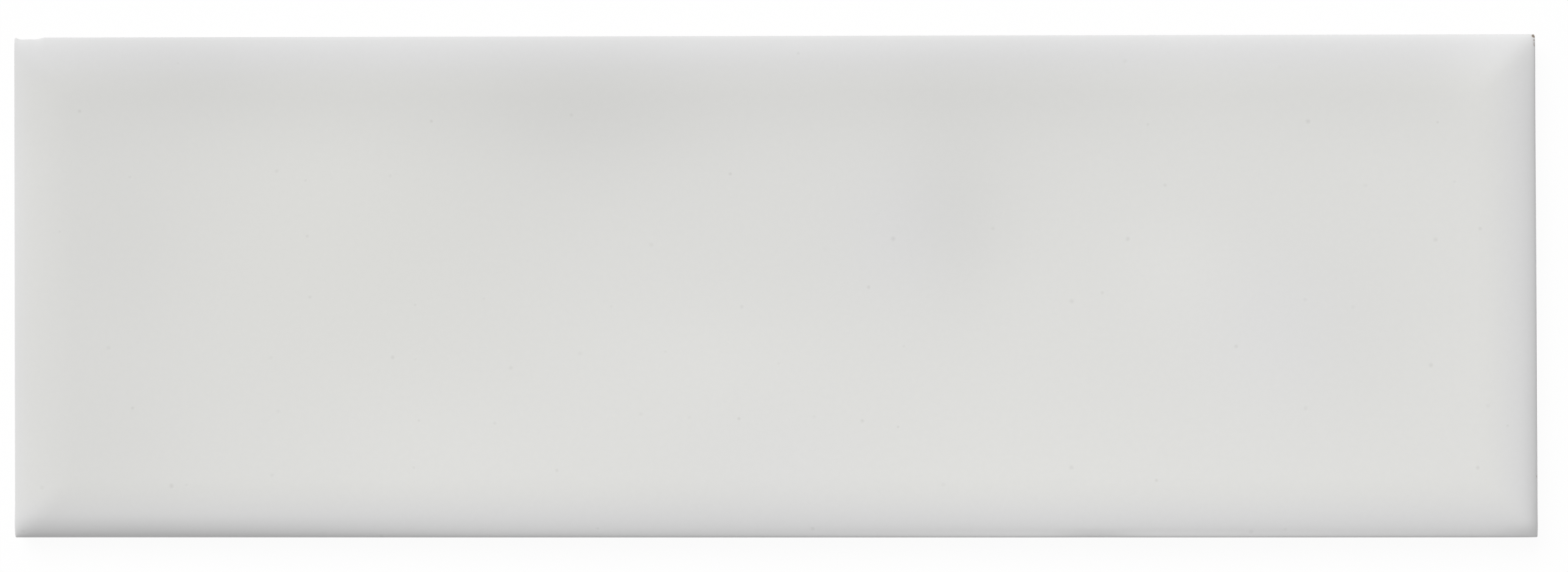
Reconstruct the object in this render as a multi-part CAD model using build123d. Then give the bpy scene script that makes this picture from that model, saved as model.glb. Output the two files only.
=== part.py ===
from build123d import *

import os
from math import ceil, cos, exp, hypot, pi, sqrt

# A field tile: the plain glazed tile that fills most of a tiled wall. It is one pressed and
# fired piece of clay, with a cushioned rim, a gently uneven glazed face and a keyed back.
# It lies on its back with the glazed face up. The origin is at the centre of the back,
# +X runs along the length, +Y across the width and +Z out of the glazed face.
# All sizes are in millimetres.

# Outline: the 4 x 12 inch trade size, less its grout joint, and the thickness before the face is dished
length = 298.5
width = 98.4
thickness = 9.5
corner_radius = 0.25
back_bevel = 0.7

# Cushioned rim: a quarter ellipse that ends just outside the sides, so the arris stays crisp
rim_width = 12.0
rim_drop = 2.6
rim_overrun = 0.15
hip_sharpness = 3.0

# Dished face: it sinks from the rim towards the middle
dish_depth = 0.55

# Hollows of the hand-pressed face. Each has its place along and across, as shares of the half
# length and half width, and then its own share of the depth and of the reach given here.
hollow_depth = 0.4
hollow_reach = 24.0
hollows = (
    (-0.80, 0.20, 0.8, 1.0),
    (-0.26, 0.28, 1.0, 1.1),
    (0.24, 0.12, 1.1, 0.9),
    (0.70, 0.20, 0.7, 1.1),
)

# Keyed back: shallow pockets that the adhesive grips, about square, fitted evenly into a border
key_size = 24.0
key_rib = 5.0
key_border = 6.0
key_depth = 0.9
key_radius = 2.0
key_draft = 30.0

# Stations that the face surface is drawn through
rim_stations = 8
face_station_spacing = 9.0
surface_tolerance = 0.01


def rim_fall(inset):
    """How far the rim has fallen at this distance in from the edge of the face surface."""
    reach = rim_width + rim_overrun
    if inset >= reach:
        return 0.0
    return rim_drop * (1 - sqrt(1 - (1 - inset / reach) ** 2))


def cushion_fall(x, y):
    """The fall of the end rims and the side rims together, with a soft hip where they meet."""
    end_fall = rim_fall(length / 2 + rim_overrun - abs(x))
    side_fall = rim_fall(width / 2 + rim_overrun - abs(y))
    return (end_fall**hip_sharpness + side_fall**hip_sharpness) ** (1 / hip_sharpness)


def face_sink(x, y):
    """How far the dish and the hollows lower the face, fading to nothing at the edges."""
    along = min(abs(x) / (length / 2), 1.0)
    across = min(abs(y) / (width / 2), 1.0)
    fade = (1 - along**4) * (1 - across**2)
    sink = dish_depth
    for place_along, place_across, depth_share, reach_share in hollows:
        distance = hypot(x - place_along * length / 2, y - place_across * width / 2)
        reach = hollow_reach * reach_share
        sink += hollow_depth * depth_share * exp(-((distance / reach) ** 2))
    return sink * fade


def face_height(x, y):
    """The height of the glazed face above the back."""
    return thickness - cushion_fall(x, y) - face_sink(x, y)


def stations(size):
    """Places across the face surface, close together on the rims and even between them."""
    edge = size / 2 + rim_overrun
    reach = rim_width + rim_overrun
    turns = [pi / 2 * step / rim_stations for step in range(rim_stations + 1)]
    rim = [edge - reach * (1 - cos(turn)) for turn in turns]
    inner = rim[-1]
    spans = ceil(2 * inner / face_station_spacing)
    middle = [2 * inner * step / spans - inner for step in range(1, spans)]
    return [-place for place in rim] + middle + rim[::-1]


def glazed_face():
    """The whole glazed face, rims and all, as one spline surface."""
    points = [[(x, y, face_height(x, y)) for y in stations(width)] for x in stations(length)]
    return Face.make_surface_from_array_of_points(points, tol=surface_tolerance, min_deg=3, max_deg=3)


def clay_blank():
    """The upright-sided blank, with a bevel round the edge of its back."""
    outline = Pos(0, 0, back_bevel) * RectangleRounded(length, width, corner_radius)
    back_outline = RectangleRounded(length - 2 * back_bevel, width - 2 * back_bevel, corner_radius)
    return loft([back_outline, outline], ruled=True) + extrude(outline, thickness - back_bevel)


def key_row(size):
    """How many pockets fit along a side of this size, and their pitch."""
    room = size - 2 * key_border + key_rib
    count = max(1, round(room / (key_size + key_rib)))
    return count, room / count


def key_pockets():
    """The pockets of the back, with ribs of one width between them."""
    count_along, pitch_along = key_row(length)
    count_across, pitch_across = key_row(width)
    mouth = RectangleRounded(pitch_along - key_rib, pitch_across - key_rib, key_radius)
    pocket = extrude(mouth, key_depth, taper=key_draft)
    places = GridLocations(pitch_along, pitch_across, count_along, count_across)
    return [place * pocket for place in places]


under_face = Solid.extrude(glazed_face(), Vector(0, 0, -2 * thickness))
field_tile = (clay_blank() & under_face) - key_pockets()

os.makedirs("parts", exist_ok=True)
export_step(field_tile, "parts/field_tile.step")
print("field tile", field_tile.bounding_box().size, "volume", round(field_tile.volume))
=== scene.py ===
# %% [markdown]
# # A white field tile
#
# A field tile is the plain tile that fills most of a tiled wall. This one was pressed from clay,
# glazed white and fired, so it is one piece with two finishes: glaze over the face and part of the
# way down the sides, and bare clay below it and on the keyed back that the adhesive grips.
#
# The CAD model gives the size and the place of the tile. This lesson makes a finer skin of the same
# shape in its place, gives it its finishes, and lights it as a plain studio picture from above.

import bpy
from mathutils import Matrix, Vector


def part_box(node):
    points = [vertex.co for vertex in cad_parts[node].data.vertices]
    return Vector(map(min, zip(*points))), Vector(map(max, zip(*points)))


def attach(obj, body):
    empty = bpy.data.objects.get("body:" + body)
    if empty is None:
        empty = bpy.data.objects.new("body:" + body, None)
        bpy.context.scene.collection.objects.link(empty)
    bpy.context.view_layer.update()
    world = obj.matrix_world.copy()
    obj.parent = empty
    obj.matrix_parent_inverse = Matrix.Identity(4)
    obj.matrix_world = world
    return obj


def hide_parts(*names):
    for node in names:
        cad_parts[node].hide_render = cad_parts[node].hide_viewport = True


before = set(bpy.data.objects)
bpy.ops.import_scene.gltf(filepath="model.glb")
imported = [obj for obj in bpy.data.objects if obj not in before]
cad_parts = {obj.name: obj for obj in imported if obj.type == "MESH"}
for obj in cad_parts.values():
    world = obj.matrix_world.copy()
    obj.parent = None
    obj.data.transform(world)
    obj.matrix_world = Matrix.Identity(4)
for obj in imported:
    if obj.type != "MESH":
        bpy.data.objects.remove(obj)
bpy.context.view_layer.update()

# %% Modules and units
from math import pi, radians, tan

import bpy
import numpy as np
from mathutils import Vector

mm = 0.001
node_low, node_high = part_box("field_tile")
half_length = (node_high[0] - node_low[0]) / 2
half_width = (node_high[1] - node_low[1]) / 2
print(f"half length {half_length / mm:.2f} mm, half width {half_width / mm:.2f} mm")

# %% [markdown]
# ## The cushioned rim
#
# The rim of the face rolls down to the sides like the edge of a cushion. A bevel modifier would
# give a round edge, but this one is a flat quarter ellipse, far wider than it is deep. So the height
# is worked out by formula, on whole arrays of points at once.

# %% Height lost on the rim
thickness = 9.5 * mm
rim_width = 12.0 * mm
rim_drop = 2.6 * mm
rim_overrun = 0.03 * mm
rim_reach = rim_width + rim_overrun
hip_sharpness = 3.0


def rim_fall(inset):
    """How far the rim has fallen at this distance in from where its ellipse ends."""
    outward = np.clip(1 - inset / rim_reach, 0, 1)
    return rim_drop * (1 - np.sqrt(1 - outward**2))


def cushion_fall(x, y):
    """The fall of the end rims and side rims together, with a soft hip at each corner."""
    end_fall = rim_fall(half_length + rim_overrun - np.abs(x))
    side_fall = rim_fall(half_width + rim_overrun - np.abs(y))
    return (end_fall**hip_sharpness + side_fall**hip_sharpness) ** (1 / hip_sharpness)


edge_drop = cushion_fall(0.0, half_width)
print(f"the arris lies {edge_drop / mm:.2f} mm below the face")

# %% [markdown]
# ## The uneven face
#
# A hand-pressed face is never quite flat. It is dished by a fraction of a millimetre, and a few
# hollows wander across it. They are too shallow to see from the side, but a glossy glaze shows each
# one, because a slope of half a degree already moves a reflection by a full degree.
#
# Sculpting or a noise texture would give hollows too, but not these. So each is listed with its
# place along and across, as shares of the half length and half width, and with its own share of the
# depth and of the reach.

# %% Dish and hollows
dish_depth = 0.55 * mm
hollow_depth = 0.40 * mm
hollow_reach = 24.0 * mm
end_fade_power = 4
side_fade_power = 2
hollows = (
    (-0.80, 0.20, 0.8, 1.0),
    (-0.26, 0.28, 1.0, 1.1),
    (0.24, 0.12, 1.1, 0.9),
    (0.70, 0.20, 0.7, 1.1),
)


def face_sink(x, y):
    """How far the dish and the hollows lower the face, fading to nothing at the edges."""
    out_along = np.clip(np.abs(x) / half_length, 0, 1)
    out_across = np.clip(np.abs(y) / half_width, 0, 1)
    fade = (1 - out_along**end_fade_power) * (1 - out_across**side_fade_power)
    sink = dish_depth
    for place_along, place_across, depth_share, reach_share in hollows:
        distance = np.hypot(x - place_along * half_length, y - place_across * half_width)
        reach = hollow_reach * reach_share
        sink = sink + hollow_depth * depth_share * np.exp(-((distance / reach) ** 2))
    return sink * fade


def face_height(x, y):
    """The height of the glazed face above the back."""
    return thickness - cushion_fall(x, y) - face_sink(x, y)


middle_height = face_height(0.0, 0.0)
print(f"the face is {middle_height / mm:.2f} mm high at its middle")

# %% [markdown]
# ## The keyed back
#
# The back has rows of shallow pockets with sloping walls. Cutting 30 pockets with booleans would be
# slow and leave thin triangles. Instead the back is one grid whose lines run along every pocket
# edge, and the points inside a pocket are simply lifted.

# %% Rows of pockets
key_size = 24.0 * mm
key_rib = 5.0 * mm
key_border = 6.0 * mm
key_depth = 0.9 * mm
key_radius = 2.0 * mm
key_draft = radians(30)
key_run = key_depth * tan(key_draft)


def key_row(half):
    """The centres of the pockets along one side, and half the mouth of each."""
    room = 2 * (half - key_border) + key_rib
    count = max(1, round(room / (key_size + key_rib)))
    pitch = room / count
    centres = (np.arange(count) - (count - 1) / 2) * pitch
    return centres, (pitch - key_rib) / 2


key_centres_x, key_half_x = key_row(half_length)
key_centres_y, key_half_y = key_row(half_width)
print("pockets:", len(key_centres_x), "by", len(key_centres_y))

# %% [markdown]
# ## Grid lines
#
# The face and the back share one set of grid lines, so that the sides can join them point to point.
# An even grid would need far more points for the same roundness, so the lines crowd together only
# on the rim, where the surface bends, and at the pocket edges.

# %% Where the grid lines run
rim_steps = 24
line_spacing = 1.7 * mm
line_digits = 6


def grid_lines(half, key_centres, key_half):
    """Places of the grid lines along one side: rim, pocket edges, and even steps between."""
    first_turn = np.arccos(1 - rim_overrun / rim_reach)
    turns = np.linspace(first_turn, pi / 2, rim_steps)
    rim = half + rim_overrun - rim_reach * (1 - np.cos(turns))
    insets = np.array((0, key_run / 2, key_run, key_radius / 2, key_radius))
    edges = (key_centres[:, None] + (key_half - insets)).ravel()
    other_edges = (key_centres[:, None] - (key_half - insets)).ravel()
    marks = np.concatenate((rim, -rim, edges, other_edges))
    # Marks that agree to the micrometre become one line
    marks = np.unique(np.round(marks, line_digits))
    lines = [marks[0]]
    for mark in marks[1:]:
        steps = max(1, int(np.ceil((mark - lines[-1]) / line_spacing)))
        lines.extend(np.linspace(lines[-1], mark, steps + 1)[1:])
    return np.array(lines)


lines_x = grid_lines(half_length, key_centres_x, key_half_x)
lines_y = grid_lines(half_width, key_centres_y, key_half_y)
grid_x, grid_y = np.meshgrid(lines_x, lines_y, indexing="ij")
print("grid of", grid_x.shape, "points")

# %% [markdown]
# ## Round corners on a square grid
#
# A square grid has square corners. This mapping draws the square at a corner in to a quarter disc,
# and leaves everything else where it is, so one helper rounds both the tile and its pockets. A bevel
# would add points of its own there, and the face would no longer match the back.

# %% Corner rounding
corner_radius = 0.25 * mm
back_bevel = 0.7 * mm
corner_slack = 1e-4


def round_corners(x, y, half_x, half_y, radius):
    """Move the points of a rectangle's corner squares on to quarter discs of this radius."""
    out_x = (np.abs(x) - half_x) / radius + 1
    out_y = (np.abs(y) - half_y) / radius + 1
    limit = 1 + corner_slack
    in_corner = (out_x > 0) & (out_y > 0) & (out_x < limit) & (out_y < limit)
    round_x = out_x * np.sqrt(np.clip(1 - out_y**2 / 2, 0, 1))
    round_y = out_y * np.sqrt(np.clip(1 - out_x**2 / 2, 0, 1))
    moved_x = np.sign(x) * (half_x + (round_x - 1) * radius)
    moved_y = np.sign(y) * (half_y + (round_y - 1) * radius)
    return np.where(in_corner, moved_x, x), np.where(in_corner, moved_y, y)


face_x, face_y = round_corners(grid_x, grid_y, half_length, half_width, corner_radius)
face_z = face_height(face_x, face_y)
# The crest of the rim comes level with the top of the CAD tile
face_z -= face_z.max() - node_high[2]
print(f"face from {face_z.min() / mm:.2f} to {face_z.max() / mm:.2f} mm")

# %% [markdown]
# ## Lifting the pockets
#
# The back starts as a copy of the flat grid. Each point looks up the pocket that is nearest to it
# and rises by how far inside that pocket's mouth it lies, which gives the sloping walls. The border
# is drawn in by the bevel round the edge of the back.

# %% Back grid with its pockets


def nearest(places, centres):
    """The centre that lies nearest to each place."""
    return centres[np.abs(places[..., None] - centres).argmin(axis=-1)]


def draw_in(places, half):
    """Squeeze the border of the back inwards to leave room for the bevel."""
    beyond = np.clip(np.abs(places) - (half - key_border), 0, None)
    return places - np.sign(places) * beyond * back_bevel / key_border


key_x = nearest(grid_x, key_centres_x)
key_y = nearest(grid_y, key_centres_y)
inset_x = key_half_x - np.abs(grid_x - key_x)
inset_y = key_half_y - np.abs(grid_y - key_y)
key_inset = np.minimum(inset_x, inset_y)
back_z = key_depth * np.clip(key_inset / key_run, 0, 1)
pocket_x, pocket_y = round_corners(grid_x - key_x, grid_y - key_y, key_half_x, key_half_y, key_radius)
back_x = draw_in(key_x + pocket_x, half_length)
back_y = draw_in(key_y + pocket_y, half_width)
back_x, back_y = round_corners(
    back_x, back_y, half_length - back_bevel, half_width - back_bevel, corner_radius
)
print(f"pocket floors at {back_z.max() / mm:.2f} mm")

# %% [markdown]
# ## An uneven arris
#
# The arris is the line where the rim meets a side. On a tile made by hand it is not the same all
# round: here it rolls off more at the lower left and at the lower right, and stands a little crisper
# elsewhere. A bevel would treat a whole edge alike, so a short list of soft rolls is added to the
# height instead. Each has its side, its place and reach along that side, how far inwards it is felt,
# and its depth, in millimetres.

# %% How much the arris rolls off
arris_rolls = (
    ("lower", -128, 55, 4.5, 0.80),
    ("lower", 72, 80, 1.4, -0.31),
    ("lower", 63, 7, 2.0, 0.28),
    ("lower", 149, 6, 3.5, 0.50),
    ("lower", 149, 6, 0.8, -0.15),
    ("right", -44, 36, 3.5, 0.32),
    ("right", 46, 12, 3.5, -0.20),
    ("right", 47, 6, 2.0, -0.15),
    ("right", -47, 5, 2.0, 0.20),
)
from_edge = {"lower": half_width + face_y, "right": half_length - face_x}
along_edge = {"lower": face_x, "right": face_y}
for side, roll_place, roll_reach, roll_inward, roll_depth in arris_rolls:
    near_edge = np.clip(1 - from_edge[side] / (roll_inward * mm), 0, 1) ** 2
    near_place = np.exp(-(((along_edge[side] / mm - roll_place) / roll_reach) ** 2))
    face_z -= roll_depth * mm * near_edge * near_place
print(f"lowest arris at {face_z.min() / mm:.2f} mm")

# %% [markdown]
# ## The sides and the glaze line
#
# Glaze runs over the rim and part of the way down the sides, and stops at an uneven line with a soft
# roll of its own thickness. Below it the clay is bare. Paint alone could draw that line, but a close
# view shows its step. So the sides are rings of points between the face and the back, drawn in by the
# thickness of the glaze where the clay shows.

# %% Walk round the border of the grid


def border(values):
    """The outer points of a grid, in order round the tile, starting at the lower left."""
    return np.concatenate((values[:-1, 0], values[-1, :-1], values[:0:-1, -1], values[0, :0:-1]))


edge_x, edge_y, edge_z = border(face_x), border(face_y), border(face_z)
outward_x = np.where(np.abs(border(grid_x)) > half_length - corner_radius, np.sign(edge_x), 0)
outward_y = np.where(np.abs(border(grid_y)) > half_width - corner_radius, np.sign(edge_y), 0)
outward_length = np.hypot(outward_x, outward_y)
outward_x, outward_y = outward_x / outward_length, outward_y / outward_length
print("border of", len(edge_x), "points")

# %% Waves from a seed
seed = 11
wave_count = 9
shortest_wave, longest_wave = 0.6, 1.7


def waves(x, y, wavelength, stream):
    """A smooth uneven field of about unit height, made of a few sine waves in all directions."""
    rng = np.random.default_rng((seed, stream))
    total = np.zeros_like(x)
    for _ in range(wave_count):
        heading = rng.uniform(0, 2 * pi)
        number = 2 * pi / (wavelength * rng.uniform(shortest_wave, longest_wave))
        shift = rng.uniform(0, 2 * pi)
        total += np.sin(number * (x * np.cos(heading) + y * np.sin(heading)) + shift)
    return total / np.sqrt(wave_count / 2)


print("fields of", wave_count, "waves from seed", seed)

# %% Where the glaze stops, as a share of the way down the side
glaze_share = 0.50
glaze_wander = 0.06
glaze_drips = 0.03
wander_length = 45 * mm
drip_length = 9 * mm
highest_line, lowest_line = 0.25, 0.85

glaze_line = glaze_share + glaze_wander * waves(edge_x, edge_y, wander_length, stream=1)
glaze_line += glaze_drips * waves(edge_x, edge_y, drip_length, stream=2)
glaze_line = np.clip(glaze_line, highest_line, lowest_line)
print(f"glaze runs down {glaze_line.min():.2f} to {glaze_line.max():.2f} of the side")

# %% Rings of the sides
side_rings = 18
glaze_thickness = 0.22 * mm
glaze_roll = 0.45 * mm
full_cover = 4.0


def rise(values, low, high):
    """Zero below low, one above high, and a smooth rise between."""
    share = np.clip((values - low) / (high - low), 0, 1)
    return share**2 * (3 - 2 * share)


side_height = edge_z - back_bevel
rings = []
ring_cover = []
for share in np.linspace(0, 1, side_rings + 1)[1:]:
    above_line = (glaze_line - share) * side_height / glaze_roll
    inward = glaze_thickness * (1 - rise(above_line, -1, 1))
    ring_x = edge_x - outward_x * inward
    ring_y = edge_y - outward_y * inward
    ring_z = edge_z - share * side_height
    rings.append(np.stack((ring_x, ring_y, ring_z), axis=1))
    ring_cover.append(np.clip(above_line, -full_cover, full_cover))
print("rings between face and back:", len(rings))

# %% [markdown]
# ## One closed skin
#
# Face, rings and back become one mesh. Three meshes joined later would need their seams merged. Here
# every block of points is joined to the next by quads from the start, so there is no seam and no
# stray face.

# %% Number the points and join them
columns, rows = grid_x.shape
face_points = np.stack((face_x, face_y, face_z), axis=-1).reshape(-1, 3)
back_points = np.stack((back_x, back_y, back_z), axis=-1).reshape(-1, 3)
points = np.concatenate([face_points, *rings, back_points])
face_number = np.arange(columns * rows).reshape(columns, rows)
back_number = face_number + len(points) - columns * rows


def grid_quads(number):
    """The quads of a numbered grid of points."""
    corners = (number[:-1, :-1], number[1:, :-1], number[1:, 1:], number[:-1, 1:])
    return np.stack(corners, axis=-1).reshape(-1, 4)


def ring_quads(upper, lower):
    """The quads between two numbered rings of points."""
    return np.stack((upper, lower, np.roll(lower, -1), np.roll(upper, -1)), axis=-1)


ring_numbers = [border(face_number)]
ring_size = len(edge_x)
for ring in range(side_rings):
    ring_numbers.append(columns * rows + ring * ring_size + np.arange(ring_size))
ring_numbers.append(border(back_number))
quads = [grid_quads(face_number), grid_quads(back_number)[:, ::-1]]
for upper, lower in zip(ring_numbers, ring_numbers[1:]):
    quads.append(ring_quads(upper, lower))
quads = np.concatenate(quads)
print(len(points), "points and", len(quads), "quads")

# %% [markdown]
# ## Marks of firing and handling
#
# The real tile is a little out of square, the upper edge is slightly drawn in by the left corner, and
# the two lower corners stand out a trace. A lattice modifier could bend a mesh so, but these are only
# small moves of the finished points, so they are written as such. The tile is made smaller by as
# much as it leans and stands out, so that its corners stay inside the CAD box.

# %% Upper edge drawn in, with stretches in millimetres from the left
notch_depth = 0.36 * mm
notch_start = (0.15, 1.05)
notch_end = (4.2, 6.0)
notch_reach = 5 * mm

from_left = (points[:, 0] + half_length) / mm
notch_along = rise(from_left, *notch_start) - rise(from_left, *notch_end)
notch_fade = np.clip(1 - (half_width - points[:, 1]) / notch_reach, 0, 1)
points[:, 1] -= notch_depth * notch_along * notch_fade
print(f"upper edge drawn in by {notch_depth / mm:.2f} mm")

# %% Lower corners that stand out, with reaches in millimetres
left_spread = 0.16 * mm
right_spread = 0.08 * mm
spread_up = 7
spread_along = 20

from_right = (half_length - points[:, 0]) / mm
from_lower = (points[:, 1] + half_width) / mm
near_left = 1 - rise(from_left, 0, spread_along)
near_right = 1 - rise(from_right, 0, spread_along)
near_lower = 1 - rise(from_lower, 0, spread_up)
points[:, 0] += near_lower * (right_spread * near_right - left_spread * near_left)
print(f"lower corners stand out by {left_spread / mm:.2f} and {right_spread / mm:.2f} mm")

# %% Out of square
out_of_square = 0.32 * mm

# The lean carries the lower edge to the right, so the lower right corner reaches out furthest
shrink = 1 - (out_of_square + 2 * right_spread) / (2 * half_length)
points[:, :2] *= shrink
points[:, 0] -= out_of_square / 2 * points[:, 1] / half_width
print(f"out of square by {out_of_square / mm:.2f} mm, at {shrink:.4f} of the full size")

# %% [markdown]
# ## Lost crumbs
#
# The right edge has lost a few crumbs of glaze, most of them by the upper corner. Booleans would cut
# them with ragged triangles. So each is a small dent in the edge, pushed inwards and down, and the
# shader later shows bare clay in it, darkened by painted shade. A crumb has its place in from the
# right edge and down from the upper one, half its breadth and half its length, in millimetres, and
# how much of the darkened clay shows.

# %% Dents where crumbs are lost
crumbs = (
    (0.30, 0.34, 0.38, 0.50, 1.0),
    (0.20, 1.16, 0.20, 0.24, 0.7),
    (0.20, 1.95, 0.20, 0.54, 0.6),
    (0.16, 86.4, 0.18, 0.30, 0.5),
)
crumb_depth_share = 0.4
crumb_push = np.array((0.7, 0.0, 0.7))
crumb_spots = []
for inset, down, breadth, length, darkness in crumbs:
    crumb_y = shrink * half_width - down * mm
    crumb_x = shrink * half_length - out_of_square / 2 * crumb_y / half_width - inset * mm
    on_face = points[: columns * rows]
    nearest_point = np.hypot(on_face[:, 0] - crumb_x, on_face[:, 1] - crumb_y).argmin()
    centre = np.array((crumb_x, crumb_y, on_face[nearest_point, 2]))
    size = np.array((breadth, length, breadth)) * mm
    away = np.linalg.norm((points - centre) / size, axis=1)
    dent = crumb_depth_share * breadth * mm * np.clip(1 - away**2, 0, 1)
    points -= dent[:, None] * crumb_push
    crumb_spots.append((centre, size, darkness))
print("crumbs lost:", len(crumb_spots))

# %% [markdown]
# ## From points to an object
#
# Arrays become a mesh in one call. Smooth shading makes the rim and the face flow, and edges that
# bend by more than the crease angle, such as those of the pockets, stay sharp.

# %% Make the mesh
crease_angle = radians(42)
skin = bpy.data.meshes.new("glazed_field_tile")
skin.from_pydata(points.tolist(), [], quads.tolist())
skin.validate()
skin.shade_smooth()
skin.set_sharp_from_angle(angle=crease_angle)
tile = bpy.data.objects.new("glazed_field_tile", skin)
bpy.context.scene.collection.objects.link(tile)
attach(tile, "root")
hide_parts("field_tile")
print("tile of", sum(len(face.vertices) - 2 for face in skin.polygons), "triangles")

# %% [markdown]
# ## Painted light and shade in the white
#
# The white is darker along the upper edge and at the left end, lighter towards the lower right,
# and has soft lighter and darker patches. Partly this is glaze that lies thinner or thicker, and
# partly it is painted light and painted shade, laid into the colour.
#
# Noise would put such patches anywhere, so a short list of them is used instead. Each has its place
# and reach in millimetres and an amount, and they add up to a smooth field over the tile.

# %% Patches of lighter and darker white: glaze, and painted light and shade
glaze_and_shade_patches = (
    (-36, 34, 22, 14, -0.18),
    (36, 14, 11, 20, -0.18),
    (36, 42, 26, 10, -0.08),
    (-128, 6, 12, 24, -0.07),
    (-130, -34, 16, 14, -0.09),
    (112, -8, 16, 18, -0.12),
    (-112, 44, 16, 10, -0.14),
    (142, 43, 11, 10, 0.26),
    (78, 4, 12, 12, 0.12),
    (85, 36, 16, 14, 0.08),
    (-90, 24, 20, 18, 0.10),
    (-60, -32, 34, 16, 0.11),
    (-12, -14, 26, 12, 0.10),
    (48, -34, 40, 16, 0.07),
    (70, -46, 60, 8, 0.07),
    (-150, -20, 8, 22, -0.14),
    (-148, -47, 9, 8, -0.12),
    (-144, 45, 10, 9, 0.13),
)


def soft_patches(x, y, patches):
    """The sum of soft patches at each point."""
    total = np.zeros_like(x)
    for patch_x, patch_y, reach_x, reach_y, amount in patches:
        patch_away = ((x / mm - patch_x) / reach_x) ** 2 + ((y / mm - patch_y) / reach_y) ** 2
        total += amount * np.exp(-patch_away)
    return total


print("patches:", len(glaze_and_shade_patches))

# %% Tone of the glaze with its painted light and shade, from zero for darkest to one for lightest
mean_tone = 0.60
painted_light_tilt = 0.08
upper_band_shade = 0.20
upper_band_stretch = (0.42, 0.88)
left_end_shade = 0.06
left_end_stretch = (0.7, 1.0)

right = points[:, 0] / half_length
up = points[:, 1] / half_width
# Painted light and shade: lighter towards the lower right, darker along the upper edge and at the
# left end
coat_and_shade = mean_tone + painted_light_tilt * (right - up)
coat_and_shade -= upper_band_shade * rise(up, *upper_band_stretch)
coat_and_shade -= left_end_shade * rise(-right, *left_end_stretch)
# Patches of painted light and shade, partly glaze that lies thinner or thicker
coat_and_shade += soft_patches(points[:, 0], points[:, 1], glaze_and_shade_patches)
print(f"glaze thickness from {coat_and_shade.min():.2f} to {coat_and_shade.max():.2f}")

# %% [markdown]
# ## A white that is not one white
#
# Iron from the clay warms a white glaze a trace, here a little more in the left third of the face,
# and a few spots stay cooler. The difference is hardly more than the eye can tell, but without it a
# large white face looks like plastic. It is a second list of soft patches.

# %% Warmth of the glaze, from zero for neutral to one for cream
mean_warmth = 0.46
warm_patches = (
    (-84, 8, 34, 30, 0.16),
    (24, 11, 12, 14, -0.26),
    (98, -9, 15, 16, -0.26),
    (2, -36, 15, 12, -0.14),
)
warmth = mean_warmth + soft_patches(points[:, 0], points[:, 1], warm_patches)
print(f"warmth from {warmth.min():.2f} to {warmth.max():.2f}")

# %% [markdown]
# ## Carrying the glaze to the material
#
# The shader has to know where the glaze ends, how warm it is, and its tone with painted light and
# shade. A painted picture would need the tile unwrapped first. The points already know all three, so
# the values are stored on them as attributes. The cover is positive under glaze and negative on bare
# clay.

# %% Attributes on the points
cover = [np.full(columns * rows, full_cover), *ring_cover, np.full(columns * rows, -full_cover)]
point_values = {"glaze_cover": np.concatenate(cover), "glaze_coat_and_shade": coat_and_shade, "glaze_warmth": warmth}
for name, values in point_values.items():
    attribute = skin.attributes.new(name, "FLOAT", "POINT")
    attribute.data.foreach_set("value", values.astype(np.float32))
print("attributes:", list(point_values))

# %% [markdown]
# ## Sums on sockets
#
# A material is a graph of nodes, and its maths is hard to read as a list of links. This small class
# wraps an output socket, so that a sum on it adds the Math nodes by itself.

# %% A socket that can be reckoned with


class Wire:
    """An output socket of a node tree that takes part in Python sums."""

    def __init__(self, tree, socket=None):
        self.tree = tree
        self.socket = socket

    def node(self, kind, settings=None, sockets=None, output=0):
        """Add a node: first its settings, then the values or wires of its sockets."""
        made = self.tree.nodes.new(kind)
        for name, value in (settings or {}).items():
            setattr(made, name, value)
        for name, value in (sockets or {}).items():
            if isinstance(value, Wire):
                self.tree.links.new(value.socket, made.inputs[name])
            else:
                made.inputs[name].default_value = value
        return Wire(self.tree, made.outputs[output] if made.outputs else None)

    def other(self, name):
        """Another output of the same node."""
        return Wire(self.tree, self.socket.node.outputs[name])

    def math(self, operation, *values):
        """Add a Math node."""
        return self.node("ShaderNodeMath", {"operation": operation}, dict(enumerate(values)))

    def __add__(self, other):
        return self.math("ADD", self, other)

    def __sub__(self, other):
        return self.math("SUBTRACT", self, other)

    def __rsub__(self, other):
        return self.math("SUBTRACT", other, self)

    def __mul__(self, other):
        return self.math("MULTIPLY", self, other)

    def __truediv__(self, other):
        return self.math("DIVIDE", self, other)

    def __rtruediv__(self, other):
        return self.math("DIVIDE", other, self)

    def __abs__(self):
        return self.math("ABSOLUTE", self)

    __radd__ = __add__
    __rmul__ = __mul__

    def larger(self, other):
        """The larger of this value and another."""
        return self.math("MAXIMUM", self, other)

    def step(self, low, high):
        """Zero below low, one above high, and a smooth rise between."""
        settings = {"interpolation_type": "SMOOTHSTEP"}
        return self.node("ShaderNodeMapRange", settings, {0: self, 1: low, 2: high})

    def tint(self, low_colour, high_colour):
        """A colour between two, by this value."""
        # A Mix node has sockets for each type of data, and these are the ones for colours
        settings = {"data_type": "RGBA"}
        return self.node("ShaderNodeMix", settings, {0: self, 6: low_colour, 7: high_colour}, 2)


def colour(red, green, blue):
    """A plain colour with full alpha, as sockets want it."""
    return (red, green, blue, 1.0)


print("sums on sockets are ready")

# %% [markdown]
# ## One material for glaze and clay
#
# Glaze and clay meet on one skin, so they are two shaders of one material. All its detail is placed
# by the object's own coordinates, in metres, so that a grain keeps its real size and stays where it
# is from every side.

# %% Material of the tile
glazed_clay = bpy.data.materials.new("glazed_clay")
glazed_clay.use_nodes = True
glazed_clay.node_tree.nodes.clear()
sheet = Wire(glazed_clay.node_tree)
place = sheet.node("ShaderNodeTexCoord", output="Object")
along = sheet.node("ShaderNodeSeparateXYZ", sockets={0: place})
across = along.other("Y")


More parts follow.
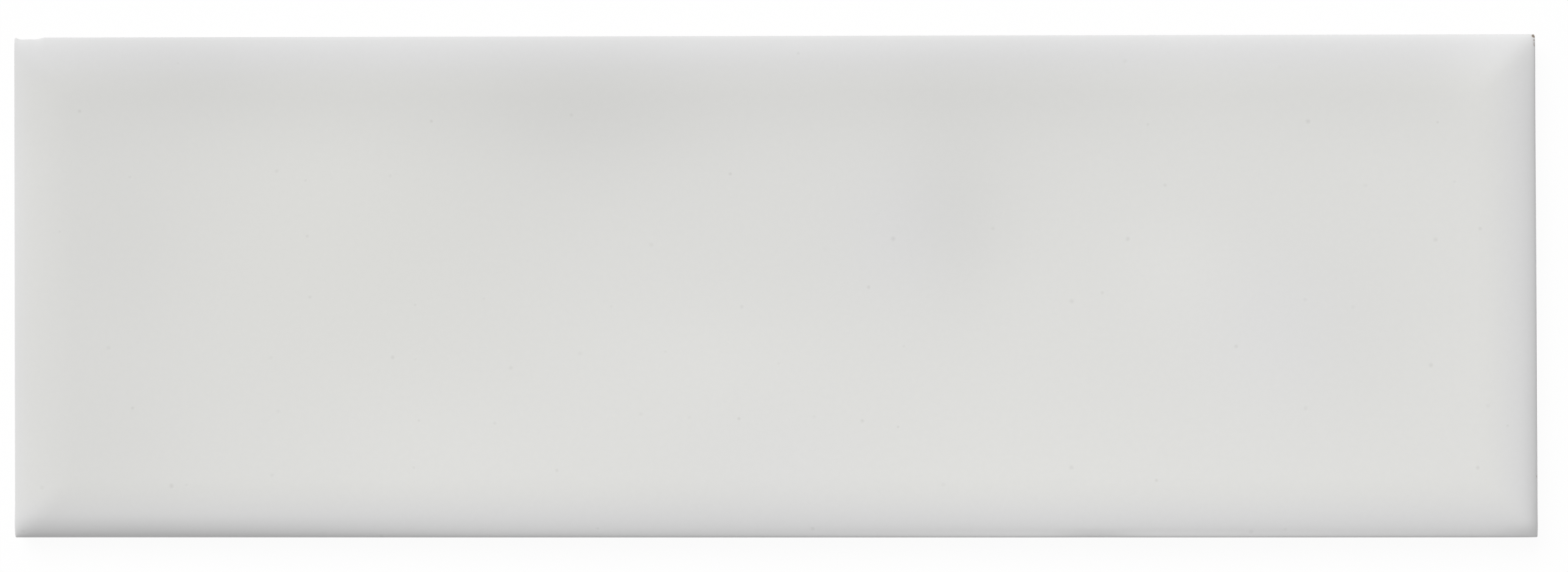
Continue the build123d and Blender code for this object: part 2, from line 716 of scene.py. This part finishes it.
def point_value(name):
    """A value that is stored on the points."""
    return sheet.node("ShaderNodeAttribute", {"attribute_name": name}, output="Fac")


def noise(per_metre, detail=2.0, roughness=0.5):
    """Noise of about this many features to the metre."""
    sockets = {"Vector": place, "Scale": per_metre, "Detail": detail, "Roughness": roughness}
    return sheet.node("ShaderNodeTexNoise", sockets=sockets)


def bump(height, strength, depth, under=None):
    """Relief from a height, of this depth in metres, on top of another relief if there is one."""
    sockets = {"Height": height, "Strength": strength, "Distance": depth}
    if under is not None:
        sockets["Normal"] = under
    return sheet.node("ShaderNodeBump", sockets=sockets)


print("material", glazed_clay.name)

# %% [markdown]
# ## White glaze
#
# The glaze is a glossy, slightly warm white on the face, and a neutral one on the rim, where it is
# drawn thin. It has a scatter of faint pinholes, and a very fine unevenness of its skin.
#
# Pinholes could be modelled, but they are smaller than the grid. So they come from Voronoi cells:
# each cell draws by lot whether it has a pinhole, and how wide and how dark that is.

# %% Pinholes, with sizes as shares of a cell
cells_per_metre = 85.0
bare_cells = 0.63
lot_margin = 0.01
smallest_pinhole = 0.028
pinhole_growth = 0.022
pinhole_wobble = 0.014
pinhole_edge = (0.1, 1.2)

cells = {"Vector": place, "Scale": cells_per_metre, "Randomness": 1.0}
pinhole_away = sheet.node("ShaderNodeTexVoronoi", {"voronoi_dimensions": "2D"}, cells)
size_lot = sheet.node("ShaderNodeSeparateXYZ", sockets={0: pinhole_away.other("Color")})
presence_lot = size_lot.other("Y")
shade_lot = size_lot.other("Z")
pinhole_radius = smallest_pinhole + pinhole_growth * size_lot
wobble = pinhole_wobble * (noise(1800.0, detail=1.0) - 0.5)
pinhole = 1 - ((pinhole_away + wobble) / pinhole_radius).step(*pinhole_edge)
pinhole = presence_lot.step(bare_cells - lot_margin, bare_cells + lot_margin) * pinhole
print(f"pinholes in {1 - bare_cells:.2f} of the cells")

# %% Where the rim is, as shares of the half width and half length
side_rim_stretch = (0.776, 0.955)
right_rim_stretch = (0.926, 0.985)
left_rim_stretch = (0.97, 1.01)

side_rim = (abs(across) / half_width).step(*side_rim_stretch)
right_rim = (along / half_length).step(*right_rim_stretch)
left_rim = (along / -half_length).step(*left_rim_stretch)
rim_near = side_rim.larger(right_rim).larger(left_rim)
print("rim found from", side_rim_stretch[0], "of the half width")

# %% White of the glaze, by its tone with painted light and shade, and by its warmth
darker_neutral = colour(0.612, 0.612, 0.613)
lighter_neutral = colour(0.770, 0.770, 0.771)
darker_cream = colour(0.614, 0.614, 0.585)
lighter_cream = colour(0.772, 0.772, 0.725)
rim_thinning = 0.07
cloud_depth = 0.02

cloud = noise(28.0, detail=3.0).step(0.3, 0.7)
# The stored tone carries painted light and shade, on top of the glaze's own thinner rim and cloud
white_tone_and_shade = point_value("glaze_coat_and_shade") - rim_thinning * rim_near + cloud_depth * cloud
neutral_white = white_tone_and_shade.tint(darker_neutral, lighter_neutral)
cream_white = white_tone_and_shade.tint(darker_cream, lighter_cream)
warm = point_value("glaze_warmth") * (1 - rim_near)
glaze_white = warm.tint(neutral_white, cream_white)
print("white from", darker_neutral[:3], "to", lighter_cream[:3])

# %% Grain and pinholes in the white
grain_grey = colour(0.5, 0.5, 0.49)
grain_depth = 0.04
pinhole_brown = colour(0.33, 0.32, 0.30)
faintest_pinhole = 0.05
pinhole_contrast = 0.14

grain = noise(900.0).step(0.2, 0.8)
grained_white = (grain_depth * grain).tint(glaze_white, grain_grey)
pinhole_shade = pinhole * (faintest_pinhole + pinhole_contrast * shade_lot)
glaze_colour = pinhole_shade.tint(grained_white, pinhole_brown)
print(f"pinholes shade the white by {faintest_pinhole} to {faintest_pinhole + pinhole_contrast:.2f}")

# %% Gloss of the glaze
smoothest_glaze = 0.07
cloud_roughness = 0.03
pinhole_roughness = 0.15
glaze_ior = 1.52

glaze_roughness = smoothest_glaze + cloud_roughness * cloud + pinhole_roughness * pinhole
pinhole_bump = bump(1 - pinhole, strength=0.1, depth=0.2 * mm)
glaze_bump = bump(noise(420.0, detail=1.0), strength=0.02, depth=0.5 * mm, under=pinhole_bump)
glaze_sockets = {
    "Base Color": glaze_colour,
    "Roughness": glaze_roughness,
    "IOR": glaze_ior,
    "Normal": glaze_bump,
}
glaze = sheet.node("ShaderNodeBsdfPrincipled", sockets=glaze_sockets)
print("glaze made, as smooth as", smoothest_glaze)

# %% [markdown]
# ## Bare clay
#
# Below the glaze line and on the back the fired clay shows: a dry, pale buff body with a fine grain
# and a few darker and paler grits. It could be a second material on faces of its own, but then the
# glaze line would follow the grid. As a second shader it is parted from the glaze by the cover on
# the points, and a little noise frays the line.

# %% Clay shader
deep_buff = colour(0.44, 0.35, 0.26)
pale_buff = colour(0.52, 0.43, 0.33)
dark_grit_brown = colour(0.24, 0.17, 0.12)
pale_grit_buff = colour(0.66, 0.60, 0.52)
dark_grit_depth = 0.5
pale_grit_depth = 0.4
clay_roughness = 0.85

grit = noise(1600.0, detail=3.0, roughness=0.6)
mottle = noise(60.0, detail=3.0).step(0.3, 0.7)
dark_grit = dark_grit_depth * grit.step(0.58, 0.72)
pale_grit = pale_grit_depth * (1 - grit).step(0.60, 0.75)
clay_colour = mottle.tint(deep_buff, pale_buff)
clay_colour = dark_grit.tint(clay_colour, dark_grit_brown)
clay_colour = pale_grit.tint(clay_colour, pale_grit_buff)
clay_bump = bump(grit, strength=0.5, depth=0.2 * mm)
clay_sockets = {"Base Color": clay_colour, "Roughness": clay_roughness, "Normal": clay_bump}
clay = sheet.node("ShaderNodeBsdfPrincipled", sockets=clay_sockets)
print("clay made, with a roughness of", clay_roughness)

# %% Frayed glaze line
fray_depth = 1.5
line_softness = 0.2

fray = fray_depth * (noise(500.0) - 0.5)
glazed = (point_value("glaze_cover") + fray).step(-line_softness, line_softness)
print("glaze line frayed by up to", fray_depth / 2, "of its roll")

# %% [markdown]
# ## Clay in the lost crumbs
#
# Bare clay shows where the crumbs are lost, darkened towards a deep brown as painted shade in the
# dents.
# On faces of their own the spots would have the square outlines of the grid, so the shader draws them
# round the same places, by their distance in all three directions. A fine noise frays their outlines.

# %% Clay in the crumbs, darkened by painted shade
chip_shade_brown = colour(0.14, 0.105, 0.075)
chip_shade_depth = 0.85
chip_roughness = 0.8
crumble_depth = 1.2
crumb_outline = (0.6, 1.1)

crumble = crumble_depth * (noise(3000.0) - 0.5)
bared_and_shaded = 0.0
for centre, size, darkness in crumb_spots:
    offset = sheet.node("ShaderNodeVectorMath", {"operation": "SUBTRACT"}, {0: place, 1: centre})
    offset = sheet.node("ShaderNodeVectorMath", {"operation": "DIVIDE"}, {0: offset, 1: size})
    spot_away = sheet.node("ShaderNodeVectorMath", {"operation": "LENGTH"}, {0: offset}, "Value")
    spot = darkness * (1 - (spot_away + crumble).step(*crumb_outline))
    bared_and_shaded = spot.larger(bared_and_shaded)
# Painted shade: the bare clay in each dent is darkened towards a deep brown
shaded_chip = (chip_shade_depth * bared_and_shaded).tint(clay_colour, chip_shade_brown)
shaded_chip_sockets = {"Base Color": shaded_chip, "Roughness": chip_roughness}
shaded_chip_clay = sheet.node("ShaderNodeBsdfPrincipled", sockets=shaded_chip_sockets)
print("stained spots:", len(crumb_spots))

# %% [markdown]
# ## Glaze, clay and stains together
#
# Two Mix Shaders choose what shows at each place: first clay or glaze, by the cover, and then the
# clay darkened by painted shade over both, where a crumb is lost.

# %% Join the shaders
crumb_cover = 0.9
glaze_and_clay = sheet.node("ShaderNodeMixShader", sockets={0: glazed, 1: clay, 2: glaze})
crumb_share = crumb_cover * bared_and_shaded
surface_sockets = {0: crumb_share, 1: glaze_and_clay, 2: shaded_chip_clay}
surface = sheet.node("ShaderNodeMixShader", sockets=surface_sockets)
sheet.node("ShaderNodeOutputMaterial", sockets={"Surface": surface})
skin.materials.append(glazed_clay)
print("nodes in the material:", len(glazed_clay.node_tree.nodes))

# %% [markdown]
# ## Floor
#
# The floor is white to the camera and in reflections, whatever the lamps do. A bright lamp could
# make it white too, but would bleach the tile. It keeps a little of its own diffuse shading, so that
# the tile still casts a faint shadow on it.

# %% Plane of the floor
floor_reach = 6.0
floor_height = -0.02 * mm
floor_corners = ((-1, -1), (1, -1), (1, 1), (-1, 1))
floor_points = [(x * floor_reach, y * floor_reach, floor_height) for x, y in floor_corners]
floor_mesh = bpy.data.meshes.new("floor")
floor_mesh.from_pydata(floor_points, [], [(0, 1, 2, 3)])
floor = bpy.data.objects.new("floor", floor_mesh)
bpy.context.scene.collection.objects.link(floor)
print("floor of", 2 * floor_reach, "m")

# %% White of the floor
white = colour(1, 1, 1)
floor_grey = colour(0.9, 0.9, 0.9)
seen_share = 0.95
white_floor = bpy.data.materials.new("white_floor")
white_floor.use_nodes = True
white_floor.node_tree.nodes.clear()
ground = Wire(white_floor.node_tree)


def seen_rays(tree):
    """One for rays from the camera, a glossy surface or a clear one, and nothing for light itself."""
    camera_ray = tree.node("ShaderNodeLightPath", output="Is Camera Ray")
    glossy_ray = camera_ray.other("Is Glossy Ray")
    clear_ray = camera_ray.other("Is Transmission Ray")
    return (camera_ray + glossy_ray + clear_ray).step(0.0, 1.0)


bright = ground.node("ShaderNodeEmission", sockets={"Color": white, "Strength": 1.0})
shaded = ground.node("ShaderNodeBsdfDiffuse", sockets={"Color": floor_grey})
seen_as_white = seen_share * seen_rays(ground)
floor_surface = ground.node("ShaderNodeMixShader", sockets={0: seen_as_white, 1: shaded, 2: bright})
ground.node("ShaderNodeOutputMaterial", sockets={"Surface": floor_surface})
floor_mesh.materials.append(white_floor)
print("floor seen as white by", seen_share)

# %% [markdown]
# ## Studio light
#
# The picture has one broad soft light from the upper left, which models the rim. An area lamp would
# have to stand close to be as soft, and one end of the tile would be brighter. A sun lamp with a wide
# disc is as soft without that fall-off. It is left out of reflections, where the white room stands
# instead.

# %% Key light
key_lift = radians(52)
key_heading = Vector((-0.54, 0.84, 0.0)).normalized()
key_strength = 2.95
key_spread = radians(45)
key_light = bpy.data.lights.new("key_light", "SUN")
key_light.energy = key_strength
key_light.angle = key_spread
key_lamp = bpy.data.objects.new("key_light", key_light)
key_direction = key_heading * np.cos(key_lift) + Vector((0, 0, np.sin(key_lift)))
key_lamp.rotation_euler = key_direction.to_track_quat("Z", "Y").to_euler()
key_lamp.visible_glossy = False
bpy.context.scene.collection.objects.link(key_lamp)
print("key light from", tuple(key_direction))

# %% [markdown]
# ## The white room
#
# The world has two faces. To the camera and in reflections it is plain white, as the floor is. As a
# source of light it is a dim dome, which only fills the shade that the key light leaves.

# %% World
ambient = 0.25
room = bpy.data.worlds.new("studio")
bpy.context.scene.world = room
room.use_nodes = True
room.node_tree.nodes.clear()
sky = Wire(room.node_tree)
dome = sky.node("ShaderNodeBackground", sockets={"Color": white, "Strength": ambient})
backdrop = sky.node("ShaderNodeBackground", sockets={"Color": white, "Strength": 1.0})
sky_surface = sky.node("ShaderNodeMixShader", sockets={0: seen_rays(sky), 1: dome, 2: backdrop})
sky.node("ShaderNodeOutputWorld", sockets={"Surface": sky_surface})
print("dome of strength", ambient)

# %% [markdown]
# ## Camera
#
# The camera looks straight down through a long lens, which keeps the edges nearly parallel. It stands
# about a degree off to the right and below, which makes the right and lower edges a trace longer than
# the others.

# %% Camera
camera_place = Vector((17.6, -11.2, 859.64)) * mm
camera_lean = (radians(0.758), radians(1.041), radians(-0.056))
camera_data = bpy.data.cameras.new("camera")
camera_data.lens = 100
camera_data.sensor_width = 36
camera = bpy.data.objects.new("camera", camera_data)
camera.location = camera_place
camera.rotation_euler = camera_lean
bpy.context.scene.collection.objects.link(camera)
bpy.context.scene.camera = camera
bpy.context.scene.view_settings.view_transform = "Standard"
print("camera at", tuple(camera_place))
